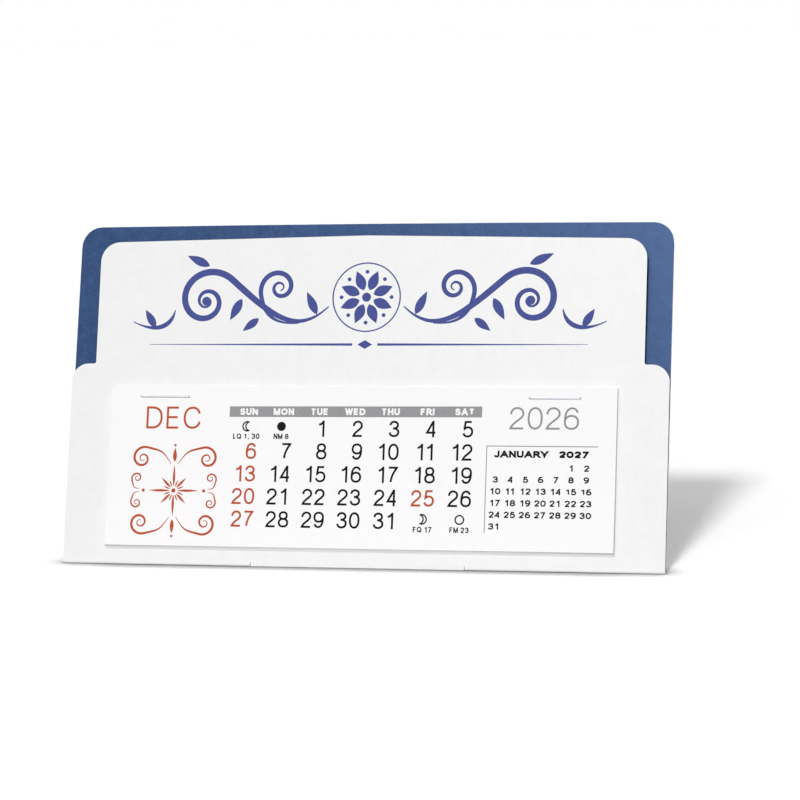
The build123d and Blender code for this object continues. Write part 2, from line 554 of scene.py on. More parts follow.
def card_white():
    """Coated white cover board: faint cloudy formation, fine fibre grain and a painted highlight along its cut edges.
    """
    shader = Shader("card_white", gloss=0.3)
    cloud = shader.noise(5.0, detail=4.0, roughness=0.6)
    grain = shader.noise(0.3, detail=2.0)
    fibre = shader.noise(1.0, roughness=0.6, stretch=(1.0, 1.0, 0.25))
    base = shader.mix(shader.ramp(cloud, 0.0, 1.0), srgb(234.6, 234.4, 235.2), srgb(238.6, 238.4, 239.2))
    strands = shader.ramp(fibre, 0.0, 0.5, from_low=0.45, from_high=0.75)
    base = shader.mix(strands, base, srgb(232.2, 232, 232.8))
    # The paler colour in the band near cut edges is a painted highlight along the edges.
    shader.colour(shader.mix(shader.maths("MULTIPLY", shader.edges(0.22), 0.6), base, srgb(248, 247, 245)))
    shader.roughness(shader.ramp(grain, 0.3, 0.42))
    shader.bump(shader.maths("ADD", grain, shader.maths("MULTIPLY", fibre, 0.8)), 12, 0.35)
    return shader.material


def card_blue():
    """Blue side of the board: mottled, with paler specks and a worn rim along the cuts."""
    shader = Shader("card_blue", gloss=0.4)
    shader.surface.inputs["Specular Tint"].default_value = (0.41, 0.57, 1.0, 1.0)
    cloud = shader.noise(3.2, detail=4.0, roughness=0.62)
    speck = shader.noise(0.45, roughness=0.6)
    base = shader.mix(shader.ramp(cloud, 0.0, 1.0), srgb(13, 43, 82), srgb(33, 64, 105))
    specks = shader.ramp(speck, 0.0, 0.45, from_low=0.45, from_high=0.75)
    base = shader.mix(specks, base, srgb(62, 89, 132))
    worn = shader.maths("MULTIPLY", shader.edges(0.2), shader.ramp(speck, 0.1, 0.75))
    shader.colour(shader.mix(worn, base, srgb(150, 168, 196)))
    shader.roughness(shader.ramp(speck, 0.27, 0.37))
    shader.bump(speck, 14, 0.3)
    return shader.material


def pad_paper():
    """Smooth bright text paper with a faint formation."""
    shader = Shader("pad_paper", gloss=0.25)
    cloud = shader.noise(2.4, detail=4.0, roughness=0.65)
    fibre = shader.noise(0.22)
    pale, bright = srgb(247.2, 245.6, 246.5), srgb(248.8, 247.2, 248.1)
    shader.colour(shader.mix(shader.ramp(cloud, 0.0, 1.0), pale, bright))
    shader.roughness(shader.ramp(fibre, 0.56, 0.68))
    shader.bump(fibre, 6, 0.25)
    return shader.material


def paper_edge():
    """Cut edges of the leaves: fibrous paper, greyed a little by painted shade for the gaps between the sheets."""
    shader = Shader("paper_edge", gloss=0.1)
    fibre = shader.noise(0.3, roughness=0.6)
    # Both edge colours sit a little below the paper's white: painted shade between the sheets.
    shader.colour(shader.mix(shader.ramp(fibre, 0.0, 1.0), srgb(235, 234, 234), srgb(245, 244, 244)))
    shader.roughness(shader.ramp(fibre, 0.7, 0.85))
    shader.bump(fibre, 10, 0.3)
    return shader.material


def ink(name, colour, thin):
    """Matte printing ink, slightly uneven where it is thin over the paper."""
    shader = Shader(name, gloss=0.06)
    cover = shader.noise(0.35, roughness=0.6)
    worn = shader.ramp(cover, 0.0, 1.0, from_low=0.42, from_high=0.75)
    shader.colour(shader.mix(worn, srgb(*colour), srgb(*thin)))
    shader.roughness(shader.ramp(cover, 0.42, 0.6))
    shader.bump(cover, 3, 0.2)
    return shader.material


def staple_steel():
    """Drawn steel wire, with streaks along its crown."""
    shader = Shader("staple_steel")
    shader.surface.inputs["Metallic"].default_value = 1.0
    shader.surface.inputs["Anisotropic"].default_value = 0.4
    streak = shader.noise(0.5, roughness=0.6, stretch=(0.06, 4.0, 4.0))
    pit = shader.noise(0.12, detail=2.0)
    shader.colour(shader.mix(shader.ramp(streak, 0.0, 1.0), srgb(172, 173, 177), srgb(203, 204, 208)))
    shader.roughness(shader.ramp(pit, 0.34, 0.5))
    shader.bump(streak, 8, 0.3)
    return shader.material


CARD_WHITE = card_white()
CARD_BLUE = card_blue()
PAD_PAPER = pad_paper()
PAPER_EDGE = paper_edge()
STEEL = staple_steel()
INKS = {
    "black": ink("ink_black", (7, 6, 7), (26, 24, 26)),
    "red": ink("ink_red", (182, 76, 44), (196, 99, 69)),
    "grey": ink("ink_grey", (149, 147, 150), (163, 161, 164)),
    "year": ink("ink_year", (140, 139, 141), (157, 156, 158)),
    "white": ink("ink_white", (248, 247, 248), (243, 242, 244)),
    "blue": ink("ink_blue", (68, 78, 142), (86, 96, 158)),
}

FINISHES = {"pad_stubs": PAD_PAPER, "staple_left": STEEL, "staple_right": STEEL}
for panel in ("front", "back", "leg"):
    FINISHES[f"{panel}_board"] = CARD_WHITE
    FINISHES[f"{panel}_facing"] = CARD_BLUE
for name, finish in FINISHES.items():
    solid = nodes[name].data
    solid.materials.clear()
    solid.materials.append(finish)
    if finish is STEEL:
        solid.polygons.foreach_set("use_smooth", [True] * len(solid.polygons))

# Cut edges of the bound strips, apart from the small faces in their pierced holes
stubs = nodes["pad_stubs"].data
stubs.materials.append(PAPER_EDGE)
for polygon in stubs.polygons:
    across = abs(polygon.normal.x) > CUT_SQUARENESS
    upwards = polygon.normal.z > CUT_SQUARENESS
    polygon.material_index = int((across or upwards) and polygon.area > CUT_AREA)


# Bottom fold: a half ring of two plies on each side of the leg, which bends with the panels


def crease_reach(angle):
    """How far the outer face is from the axis: flat in front and on the desk, with a tight round between."""
    half = math.radians(90 + FRONT_LEAN) / 2
    off = angle - math.radians(270) + half
    if off >= half:
        return FOLD_OUTER
    flat = math.atan((1 - CREASE_ROUND / FOLD_OUTER) * math.tan(half))
    if half - abs(off) < flat:
        return FOLD_OUTER / math.cos(half - abs(off))
    centre = (FOLD_OUTER - CREASE_ROUND) / math.cos(half)
    return centre * math.cos(off) + math.sqrt(CREASE_ROUND ** 2 - (centre * math.sin(off)) ** 2)


def fold_strip(name, node, low, high):
    """White ply outside, blue ply inside."""
    axis = joint_at["bottom_fold"]
    across = [low + (high - low) * share / FOLD_COLUMNS for share in range(FOLD_COLUMNS + 1)]
    start = math.radians(180 - FRONT_LEAN)
    turn = math.radians(180 - (BACK_LEAN - FRONT_LEAN))
    verts, faces, kinds = [], [], []
    for inner, outer, kind in ((FOLD_PLY, FOLD_OUTER, 0), (FOLD_INNER, FOLD_PLY, 1)):
        grids = []
        for radius in (outer, inner):
            grid = []
            for step in range(FOLD_STEPS + 1):
                angle = start + turn * step / FOLD_STEPS
                reach = crease_reach(angle) if radius == FOLD_OUTER else radius
                y, z = reach * math.cos(angle), reach * math.sin(angle)
                grid.append([axis + MM * Vector((x, y, z)) for x in across])
            grids.append(grid)
        some_verts, some_faces = slab(*grids)
        faces += [[index + len(verts) for index in face] for face in some_faces]
        verts += some_verts
        kinds += [kind] * len(some_faces)
    strip = new_object(name, verts, faces, [CARD_WHITE, CARD_BLUE], kinds)
    middle = (FOLD_INNER + FOLD_OUTER) / 2
    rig.blend(strip, "back_panel", "front_panel", on_back(0, 0, -middle), on_front(0, 0, middle))
    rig.replaces(strip, node)
    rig.slot(strip, "white_board")


fold_strip("fold_left_skin", "fold_left", -CARD_HALF, -WINDOW_HALF)
fold_strip("fold_right_skin", "fold_right", WINDOW_HALF, CARD_HALF)


# Leg's crease: the outer ply runs on over it in a soft valley


def crease_strip():
    """A thin sheet from the back panel over the crease to the leg."""
    over = on_back(0, CREASE_HEIGHT + SKIN_REACH, -FOLD_OUTER)
    valley = joint_at["leg_crease"]
    under = on_leg(0, -SKIN_REACH, 0)
    out = Vector(SKIN_OUT).normalized() * MM
    columns = [Vector((x * MM, 0, 0)) for x in (-LEG_HALF, 0, LEG_HALF)]
    front, back = [], []
    for step in range(SKIN_STEPS + 1):
        share = step / SKIN_STEPS
        middle = (1 - share) ** 2 * over + 2 * share * (1 - share) * valley + share ** 2 * under
        rise = SKIN_CROWN * math.sin(math.pi * share) + SKIN_EDGE
        front.append([middle + out * rise + column for column in columns])
        back.append([middle - out * SKIN_DEPTH + column for column in columns])
    verts, faces = slab(front, back)
    strip = new_object("leg_crease_skin", verts, faces, [CARD_WHITE])
    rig.blend(strip, "back_panel", "easel_leg", over, under)
    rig.slot(strip, "white_board")


crease_strip()


# Month leaves: sheets that bend softly below their bound strips


def bend(piece, number):
    """A leaf, or print on it, turns from the body behind it to its own over a short stretch."""
    own = max(1, len(LEAF_BODIES) - number)
    start = on_front(0, BEND_HEIGHT, PAD_FRONT)
    end = on_front(0, BEND_HEIGHT - BEND_ZONE, PAD_FRONT)
    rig.blend(piece, LEAF_BODIES[own - 1], LEAF_BODIES[own], start, end)


def leaf(number):
    """One sheet below the bend line, with its cut edges in their own material."""
    place = on_top_leaf if number == 1 else on_front
    top = PAD_FRONT - (number - 1) * LEAF_PITCH
    drift = 0.0 if number == 1 else LEAF_DRIFT * math.sin(DRIFT_PHASE * number)
    trim = 0.0 if number == 1 else LEAF_TRIM * math.sin(TRIM_PHASE * number + 1)
    behind = (number - 1) / (LEAF_COUNT - 1)
    low = PAD_BOTTOM + trim - LEAF_CREEP * behind ** CREEP_POWER
    rows = [BEND_HEIGHT - BEND_ZONE * step / BEND_ROWS for step in range(BEND_ROWS + 1)]
    rows += [rows[-1] + (low - rows[-1]) * step / FLAT_ROWS for step in range(1, FLAT_ROWS + 1)]
    columns = [PAD_MIDDLE + PAD_HALF * (step / HALF_COLUMNS - 1) for step in range(2 * HALF_COLUMNS + 1)]
    grids = []
    for n in (top, top - LEAF_THICKNESS):
        grids.append([])
        for s in rows:
            slant = drift * (BEND_HEIGHT - s) / (BEND_HEIGHT - PAD_BOTTOM)
            grids[-1].append([place(x + slant, s, n) for x in columns])
    verts, faces = slab(*grids)
    flat = 2 * (len(rows) - 1) * (len(columns) - 1) + len(columns) - 1
    kinds = [0] * flat + [1] * (len(faces) - flat)
    sheet = new_object(f"leaf_{number:02d}_sheet", verts, faces, [PAD_PAPER, PAPER_EDGE], kinds)
    bend(sheet, number)
    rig.replaces(sheet, f"leaf_{number:02d}")
    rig.slot(sheet, "pad_paper")


for leaf_number in range(1, LEAF_COUNT + 1):
    leaf(leaf_number)


# Lines and glyphs, as points in a plane


def bezier(p0, p1, p2, p3, step):
    """Points along a cubic curve, about step apart."""
    points = [Vector(p) for p in (p0, p1, p2, p3)]
    rough = sum((b - a).length for a, b in zip(points, points[1:]))
    count = max(FEWEST_ON_CURVE, math.ceil(rough / step))
    made = []
    for index in range(count + 1):
        t = index / count
        weights = ((1 - t) ** 3, 3 * t * (1 - t) ** 2, 3 * t * t * (1 - t), t ** 3)
        made.append(sum((w * p for w, p in zip(weights, points)), Vector((0, 0))))
    return made


def straight(p0, p1, step):
    """Points along a line, about step apart."""
    one, two = Vector(p0), Vector(p1)
    count = max(1, math.ceil((two - one).length / step))
    return [one.lerp(two, index / count) for index in range(count + 1)]


def oval(centre, rx, ry, step, power=2.0, start=0.0, turn=360.0):
    """Points round a rounded oval, squarer for a higher power."""
    count = max(FEWEST_ON_OVAL, math.ceil(math.pi * (rx + ry) * abs(turn) / 360 / step))
    made = []
    for index in range(count + 1):
        angle = math.radians(start + turn * index / count)
        c, s = math.cos(angle), math.sin(angle)
        x = math.copysign(abs(c) ** (2 / power), c)
        y = math.copysign(abs(s) ** (2 / power), s)
        made.append(Vector((centre[0] + rx * x, centre[1] + ry * y)))
    return made[:-1] if abs(turn) == 360 else made


def spiral(centre, radius, start, turns, end_radius):
    """Points winding in from radius to end_radius, anticlockwise for positive turns."""
    count = math.ceil(abs(turns) * 2 * math.pi * (radius + end_radius) / 2 / SPIRAL_STEP)
    made = []
    for index in range(count + 1):
        t = index / count
        angle = math.radians(start + 360 * turns * t)
        reach = radius * (end_radius / radius) ** t
        made.append(Vector((centre[0] + reach * math.cos(angle), centre[1] + reach * math.sin(angle))))
    return made


# Strokes that glyphs share
STEM = [(0, 0), (0, 1)]
TWO_BOW = [(0.02, 0.69), (0.02, 0.87, 0.12, 1, 0.285, 1), (0.44, 1, 0.545, 0.88, 0.545, 0.725)]

# Each glyph: its width, then its strokes on a height of 1. A stroke is a start and its moves: a pair is a
# straight line, six numbers are a curve. "oval" is a closed bowl and "cut" a slanted bar with level ends.
GLYPHS = {
    "0": (0.56, [("oval", 0.28, 0.5, 0.28, 0.5)]),
    "1": (0.56, [[(0.36, 0), (0.36, 1)], [(0.33, 0.985), (0.27, 0.85, 0.18, 0.8, 0.06, 0.785)]]),
    "2": (0.56, [[*TWO_BOW, (0.545, 0.46, 0.12, 0.34, 0.005, 0), (0.56, 0)]]),
    "3": (0.56, [[(0.02, 0.75), (0.04, 0.91, 0.13, 1, 0.27, 1), (0.42, 1, 0.515, 0.9, 0.515, 0.755),
        (0.515, 0.62, 0.4, 0.535, 0.2, 0.535)], [(0.22, 0.535), (0.42, 0.535, 0.555, 0.44, 0.555, 0.275),
        (0.555, 0.11, 0.44, 0, 0.27, 0), (0.11, 0, 0.005, 0.1, 0, 0.255)]]),
    "4": (0.56, [("cut", 0.395, 1, 0.02, 0.25), [(-0.02, 0.25), (0.56, 0.25)], [(0.42, 0), (0.42, 1)]]),
    "5": (0.56, [[(0.51, 1), (0.12, 1), (0.05, 0.49), (0.1, 0.575, 0.18, 0.63, 0.28, 0.63),
        (0.45, 0.63, 0.555, 0.5, 0.555, 0.32), (0.555, 0.13, 0.44, 0, 0.265, 0),
        (0.12, 0, 0.02, 0.08, 0, 0.225)]]),
    "6": (0.56, [("oval", 0.28, 0.315, 0.28, 0.315), [(0.53, 0.79), (0.5, 0.93, 0.41, 1, 0.3, 1),
        (0.09, 1, 0, 0.74, 0, 0.36)]]),
    "7": (0.54, [[(0, 1), (0.54, 1), (0.36, 0.76, 0.18, 0.4, 0.15, 0)]]),
    "8": (0.56, [("oval", 0.28, 0.765, 0.235, 0.235), ("oval", 0.28, 0.265, 0.28, 0.265)]),
    "9": (0.56, [("oval", 0.28, 0.685, 0.28, 0.315), [(0.03, 0.21), (0.06, 0.07, 0.15, 0, 0.26, 0),
        (0.47, 0, 0.56, 0.26, 0.56, 0.64)]]),
    "A": (0.68, [("cut", 0.36, 1, 0.68, 0), ("cut", 0.32, 1, 0, 0), [(0.12, 0.32), (0.56, 0.32)]]),
    "B": (0.54, [STEM, [(0, 1), (0.28, 1), (0.42, 1, 0.5, 0.9, 0.5, 0.76),
        (0.5, 0.62, 0.42, 0.53, 0.28, 0.53), (0, 0.53)], [(0.28, 0.53),
        (0.44, 0.53, 0.54, 0.43, 0.54, 0.265), (0.54, 0.1, 0.44, 0, 0.28, 0), (0, 0)]]),
    "C": (0.66, [[(0.65, 0.71), (0.62, 0.89, 0.52, 1, 0.35, 1), (0.13, 1, 0, 0.8, 0, 0.5),
        (0, 0.2, 0.13, 0, 0.35, 0), (0.53, 0, 0.64, 0.12, 0.66, 0.31)]]),
    "D": (0.62, [STEM, [(0, 1), (0.24, 1), (0.48, 1, 0.62, 0.8, 0.62, 0.5), (0.62, 0.2, 0.48, 0, 0.24, 0),
        (0, 0)]]),
    "E": (0.48, [[(0.48, 1), (0, 1), (0, 0), (0.48, 0)], [(0, 0.52), (0.44, 0.52)]]),
    "F": (0.46, [[(0.46, 1), (0, 1), (0, 0)], [(0, 0.5), (0.41, 0.5)]]),
    "H": (0.56, [STEM, [(0.56, 0), (0.56, 1)], [(0, 0.52), (0.56, 0.52)]]),
    "I": (0.0, [STEM]),
    "J": (0.4, [[(0.4, 1), (0.4, 0.28), (0.4, 0.09, 0.32, 0, 0.2, 0), (0.07, 0, 0, 0.09, 0, 0.28)]]),
    "L": (0.42, [[(0, 1), (0, 0), (0.42, 0)]]),
    "M": (0.72, [STEM, [(0.72, 0), (0.72, 1)], ("cut", 0.02, 1, 0.36, 0), ("cut", 0.7, 1, 0.36, 0)]),
    "N": (0.56, [STEM, [(0.56, 0), (0.56, 1)], ("cut", 0.03, 1, 0.53, 0)]),
    "O": (0.74, [("oval", 0.37, 0.5, 0.37, 0.5)]),
    "Q": (0.74, [("oval", 0.37, 0.5, 0.37, 0.5), [(0.42, 0.28), (0.78, -0.05)]]),
    "R": (0.54, [STEM, [(0, 1), (0.28, 1), (0.42, 1, 0.51, 0.9, 0.51, 0.74),
        (0.51, 0.58, 0.42, 0.48, 0.28, 0.48), (0, 0.48)], ("cut", 0.27, 0.48, 0.55, 0)]),
    "S": (0.52, [[(0.5, 0.74), (0.48, 0.91, 0.39, 1, 0.26, 1), (0.11, 1, 0.02, 0.9, 0.02, 0.755),
        (0.02, 0.6, 0.13, 0.56, 0.26, 0.525), (0.4, 0.49, 0.52, 0.45, 0.52, 0.265),
        (0.52, 0.1, 0.41, 0, 0.26, 0), (0.11, 0, 0.01, 0.1, 0, 0.28)]]),
    "T": (0.56, [[(0, 1), (0.56, 1)], [(0.28, 1), (0.28, 0)]]),
    "U": (0.56, [[(0, 1), (0, 0.33), (0, 0.12, 0.1, 0, 0.28, 0), (0.46, 0, 0.56, 0.12, 0.56, 0.33),
        (0.56, 1)]]),
    "W": (0.88, [("cut", 0, 1, 0.21, 0), ("cut", 0.43, 1, 0.22, 0), ("cut", 0.45, 1, 0.66, 0),
        ("cut", 0.88, 1, 0.67, 0)]),
    "Y": (0.6, [("cut", 0, 1, 0.29, 0.42), ("cut", 0.6, 1, 0.31, 0.42), [(0.3, 0.46), (0.3, 0)]]),
    ",": (0.06, [[(0.06, 0.08), (0, -0.2)]]),
}

# Bold forms of some figures: their strokes alone
BOLD_STROKES = {
    "2": [[*TWO_BOW, (0.545, 0.5, 0.24, 0.34, 0.1, 0.06)], [(-0.02, 0), (0.56, 0)]],
    "6": [("oval", 0.28, 0.29, 0.28, 0.29), [(0.5, 0.94), (0.44, 0.985, 0.38, 1, 0.32, 1),
        (0.09, 1, 0, 0.7, 0, 0.34)]],
    "7": [[(-0.02, 1), (0.56, 1)], ("cut", 0.5, 1, 0.17, 0)],
    "9": [("oval", 0.28, 0.71, 0.28, 0.29), [(0.06, 0.06), (0.12, 0.015, 0.18, 0, 0.24, 0),
        (0.47, 0, 0.56, 0.3, 0.56, 0.66)]],
}


class Film:
    """Thin closed pieces of one ink on one sheet, gathered into one mesh."""

    def __init__(self, name, finish, place, paper):
        self.name = name
        self.finish = finish
        self.place = place
        self.paper = paper
        self.verts = []
        self.faces = []

    def add(self, lefts, rights, lift=0.0, closed=False):
        """A strip between two lines of points."""
        base = len(self.verts)
        low, high = self.paper - INK_SINK, self.paper + INK_RISE + lift
        for left, right in zip(lefts, rights):
            for point, n in ((left, high), (right, high), (right, low), (left, low)):
                self.verts.append(self.place(point[0], point[1], n))
        count = len(lefts)
        for index in range(count if closed else count - 1):
            one, two = base + 4 * index, base + 4 * ((index + 1) % count)
            for corner in range(4):
                after = (corner + 1) % 4
                self.faces.append([one + corner, one + after, two + after, two + corner])
        if not closed:
            self.faces.append([base + corner for corner in range(4)])
            self.faces.append([base + 4 * (count - 1) + corner for corner in (3, 2, 1, 0)])

    def ribbon(self, line, width, lift=0.0, closed=False):
        """A strip along a line: width is a number, or a function of how far along it is, from 0 to 1."""
        points = [line[0]]
        points += [point for last, point in zip(line, line[1:]) if (point - last).length > SAME_POINT]
        if closed and (points[0] - points[-1]).length < SAME_POINT:
            points.pop()
        count = len(points)
        lefts, rights = [], []
        for index, point in enumerate(points):
            ways = []
            if index or closed:
                ways.append((point - points[index - 1]).normalized())
            if index < count - 1 or closed:
                ways.append((points[(index + 1) % count] - point).normalized())
            normals = [Vector((-way.y, way.x)) for way in ways]
            total = normals[0] + normals[-1]
            wide = width if isinstance(width, (int, float)) else width(index / (count - 1))
            mitre = wide / max(total.length_squared, TINY)
            longest = MITRE_LIMIT * wide / 2 / max(total.length, TINY)
            reach = min(mitre, longest)
            lefts.append(point + total * reach)
            rights.append(point - total * reach)
        self.add(lefts, rights, lift, closed)

    def cut_bar(self, p0, p1, width, lift):
        """A slanted bar whose ends are level."""
        one, two = Vector(p0), Vector(p1)
        run = two - one
        half = Vector((width / 2 * run.length / abs(run.y), 0))
        line = straight(one, two, LINE_STEP)
        self.add([p - half for p in line], [p + half for p in line], lift)

    def patch(self, outline, lift=0.0):
        """A filled shape, given its outline."""
        base = len(self.verts)
        count = len(outline)
        for n in (self.paper + INK_RISE + lift, self.paper - INK_SINK):
            self.verts += [self.place(point[0], point[1], n) for point in outline]
        self.faces.append(list(range(base, base + count)))
        self.faces.append(list(range(base + 2 * count - 1, base + count - 1, -1)))
        for index in range(count):
            after = (index + 1) % count
            self.faces.append([base + index, base + count + index, base + count + after, base + after])

    def box(self, x0, x1, s0, s1):
        """A filled bar, with enough rows to bend."""
        line = straight((x0, s0), (x0, s1), LINE_STEP)
        shift = Vector((x1 - x0, 0))
        self.add(line, [p + shift for p in line])

    def disc(self, centre, radius, lift=0.0):
        self.patch(oval(centre, radius, radius, ROUND_STEP), lift)

    def glyph(self, name, x, s, height, weight, lift, extend):
        """One character with its lower left corner at x and s."""
        bold = weight > BOLD_WEIGHT and name in BOLD_STROKES
        strokes = BOLD_STROKES[name] if bold else GLYPHS[name][1]
        stroke = weight * height
        scale = height - stroke

        def at(px, py):
            return Vector((x + stroke / 2 + px * scale * extend, s + stroke / 2 + py * scale))

        for order, moves in enumerate(strokes):
            up = lift + order * STROKE_STEP
            if moves[0] == "oval":
                _, cx, cy, rx, ry = moves
                loop = oval(at(cx, cy), rx * scale * extend, ry * scale, BOWL_STEP, BOWL_POWER)
                self.ribbon(loop, stroke, up, closed=True)
            elif moves[0] == "cut":
                _, x0, y0, x1, y1 = moves
                top, foot = at(x0, y0), at(x1, y1)
                level = Vector((0, stroke / 2))
                lean = Vector(((top.x - foot.x) / (top.y - foot.y) * stroke / 2, 0))
                self.cut_bar(top + level + lean, foot - level - lean, stroke, up)
            else:
                line = [at(*moves[0])]
                for move in moves[1:]:
                    if len(move) == 2:
                        line += straight(line[-1], at(*move), LINE_STEP)[1:]
                    else:
                        points = [at(*move[index:index + 2]) for index in (0, 2, 4)]
                        line += bezier(line[-1], *points, LINE_STEP)[1:]
                self.ribbon(self.capped(line, moves, stroke), stroke, up)

    def capped(self, line, moves, stroke):
        """Upright ends reach the full height, because a stroke's line stops half its width short."""
        first = line[1] - line[0]
        if abs(first.x) < TINY and moves[0][1] in (0, 1):
            line = [line[0] - first.normalized() * stroke / 2] + line
        last = line[-1] - line[-2]
        if abs(last.x) < TINY and moves[-1][-1] in (0, 1):
            line = line + [line[-1] + last.normalized() * stroke / 2]
        return line

    def advances(self, words, height, weight, gap, extend):
        """How far each character moves the next one on. A 1 sits closer to the figure after it."""
        made = []
        for letter, after in zip(words, words[1:] + " "):
            wide = WORD_SPACE if letter == " " else GLYPHS[letter][0] * (1 - weight) * extend + weight + gap
            if letter == "1" and after.isdigit():
                wide -= BETWEEN_ONES if after == "1" else AFTER_ONE
            made.append(wide * height)
        return made

    def width_of(self, words, height, weight, gap, extend):
        """How wide a line of characters comes out."""
        return sum(self.advances(words, height, weight, gap, extend)) - gap * height

    def text(self, words, x, s, height, weight, gap, extend, align=0.0, lift=0.0):
        """Characters on the line s: align 0 starts at x, 0.5 is centred on it and 1 ends there."""
        x -= align * self.width_of(words, height, weight, gap, extend)
        for letter, advance in zip(words, self.advances(words, height, weight, gap, extend)):
            if letter != " ":
                self.glyph(letter, x, s, height, weight, lift, extend)
            x += advance

    def finish_mesh(self):
        return new_object(self.name, self.verts, self.faces, [self.finish])


# Print on the month leaves


def weeks_of(year, month):
    """The month's weeks from Sunday, with 0 for days of other months."""
    return calendar.Calendar(firstweekday=6).monthdayscalendar(year, month)


def moon(film, kind, x, s):
    """A quarter, full or new moon."""
    if kind == "NM":
        film.disc((x, s), MOON_RADIUS)
    elif kind == "FM":
        ring = oval((x, s), FULL_MOON_RADIUS, FULL_MOON_RADIUS, ROUND_STEP)
        film.ribbon(ring, FULL_MOON_LINE, closed=True)
    else:
        side = -1 if kind == "LQ" else 1
        outer = oval((x, s), MOON_RADIUS, MOON_RADIUS, CRESCENT_STEP, **OUTER_ARC)
        inner = oval((x - HOLLOW_SHIFT, s), HOLLOW_RADIUS, HOLLOW_RADIUS, CRESCENT_STEP, **HOLLOW_ARC)
        shape = [Vector((x + side * (p.x - x - CRESCENT_SHIFT), p.y)) for p in outer + inner]
        film.ribbon(shape, CRESCENT_LINE, closed=True)


def moon_cells(weeks):
    """Four free cells for the moons: up to two before the first day, and the others after the last."""
    first = [(0, day) for day in range(7) if not weeks[0][day]]
    last = [(len(weeks) - 1, day) for day in range(7) if not weeks[-1][day]]
    before = first[:2]
    return before + last[len(before) - 4:]


def skew(x, s):
    """The month's grid is printed a little out of square: its upper right stands high."""
    if x >= SKEW_RIGHT:
        return 0.0
    return PRINT_SKEW * max(0.0, x - SKEW_LEFT) * (s - SKEW_LEVEL) / SKEW_HEIGHT


def page(number, year, month, holidays, moons):
    """One month's print on leaf number."""
    sheet = on_top_leaf if number == 1 else on_front
    paper = PAD_FRONT - (number - 1) * LEAF_PITCH
    films = {}

    def place(x, s, n):
        return sheet(x, s + skew(x, s), n)

    for colour in ("black", "red", "grey", "year", "white"):
        films[colour] = Film(f"print_{number:02d}_{colour}", INKS[colour], place, paper)
    black, red = films["black"], films["red"]

    films["grey"].box(*WEEKDAY_BAR)
    for day, name in enumerate(DAY_NAMES):
        films["white"].text(name, DAY_MIDDLES[day], DAY_NAMES_LINE, align=0.5, lift=OVER_BAR, **WEEKDAYS)
    red.text(MONTHS[month][:3], *MONTH_NAME_AT, **MONTH_NAME)
    films["year"].text(str(year), *YEAR_AT, **YEAR)

    weeks = weeks_of(year, month)
    pitch, height = FIVE_WEEKS if len(weeks) < 6 else SIX_WEEKS
    baselines = [DATES_TOP - height - pitch * row for row in range(len(weeks))]
    for week, baseline in zip(weeks, baselines):
        for day, date in enumerate(week):
            if date:
                film = red if day == 0 or date in holidays else black
                film.text(str(date), DATE_RIGHTS[day], baseline, height, align=1.0, **DATES)
    for (row, day), (kind, dates) in zip(moon_cells(weeks), moons):
        middle = DATE_RIGHTS[day] - MOON_SHIFT
        moon(black, kind, middle, baselines[row] + MOON_RISE)
        note_line = baselines[row] - MOON_NOTE_DROP
        black.text(f"{kind} {dates}", middle, note_line, align=0.5, **MOON_NOTES)

    for rule in (UPRIGHT_RULE, LEVEL_RULE):
        films["year"].box(*rule)
    mini_month(black, *((year, month + 1) if month < 12 else (year + 1, 1)))
    return films


def mini_month(film, year, month):
    """The following month in small figures, under its name and year."""
    words = MONTHS[month]
    left, baseline = MINI_HEADING_AT
    space = LONG_HEADING_WIDTH if len(words) > SHORT_NAME else HEADING_WIDTH
    stretch = NAME_STRETCH
    while film.width_of(words, extend=stretch, **MINI_MONTH) > space - MINI_YEAR_ROOM:
        stretch -= NAME_SQUEEZE
    film.text(words, left, baseline, extend=stretch, **MINI_MONTH)
    film.text(str(year), left + space, baseline, align=1.0, **MINI_YEAR)
    for row, week in enumerate(weeks_of(year, month)):
        for day, date in enumerate(week):
            if date:
                middle = MINI_LEFT + MINI_PITCH * day
                film.text(str(date), middle, MINI_TOP - MINI_DROP * row, align=0.5, **MINI_DATES)


# Ornaments of the calendar's own: scrolls, petals and stars


def swell(thin, thick, peak):
    """A pen stroke's width: thin at the ends and thick in between."""
    bias = math.log(0.5) / math.log(peak)
    return lambda t: thin + (thick - thin) * math.sin(math.pi * t ** bias) ** PEN_POWER


def scroll(start, lead, centre, radius, angle, turns, end_radius, handle):
    """A line from start that winds into a spiral."""
    coil = spiral(centre, radius, angle, turns, end_radius)
    into = (coil[1] - coil[0]).normalized()
    return bezier(start, lead, coil[0] - into * handle, coil[0], SCROLL_STEP) + coil[1:]


def heading(angle):
    """The way that an angle points, in degrees from the right."""
    return Vector((math.cos(math.radians(angle)), math.sin(math.radians(angle))))


def petal(base, angle, length, width):
    """A pointed leaf's outline."""
    way = heading(angle)
    side = Vector((-way.y, way.x))
    sides = []
    for index in range(1, PETAL_STEPS):
        t = index / PETAL_STEPS
        offset = side * width / 2 * math.sin(math.pi * t ** PETAL_POWER)
        sides.append((Vector(base) + way * length * t, offset))
    outline = [Vector(base)] + [p + q for p, q in sides] + [Vector(base) + way * length]
    return outline + [p - q for p, q in reversed(sides)]


def mirrored(points, x):
    """The same points on the other side of an upright line."""
    return [Vector((2 * x - p.x, p.y)) for p in points]


def both_sides(film, line, width, x, lift=0.0):
    film.ribbon(line, width, lift)
    film.ribbon(mirrored(line, x), width, lift)


